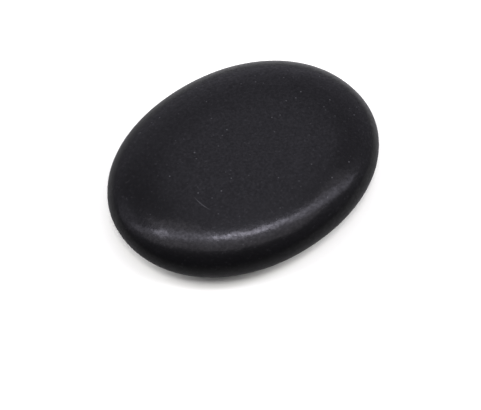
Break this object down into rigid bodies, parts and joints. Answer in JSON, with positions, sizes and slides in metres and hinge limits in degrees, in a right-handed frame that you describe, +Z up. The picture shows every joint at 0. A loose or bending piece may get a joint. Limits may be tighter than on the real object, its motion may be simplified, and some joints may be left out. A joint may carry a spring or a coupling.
{
  "type": "lava stone",
  "caption": "Smooth flattened oval pebble of black basalt with a satin polish, lying on a small flat spot; a warm massage stone, worry stone or table ornament.",
  "frame": {"origin": "on the flat spot that the stone lies on, under the middle of its outline", "axes": "+X along the stone's length, +Y across its width, +Z up through its crown"},
  "size_m": [0.04, 0.031, 0.0095],
  "materials": {
    "basalt": "satin-polished black basalt, fine grained, with a few pale mineral specks"
  },
  "bodies": {
    "root": {"stone": "basalt"}
  },
  "joints": []
}
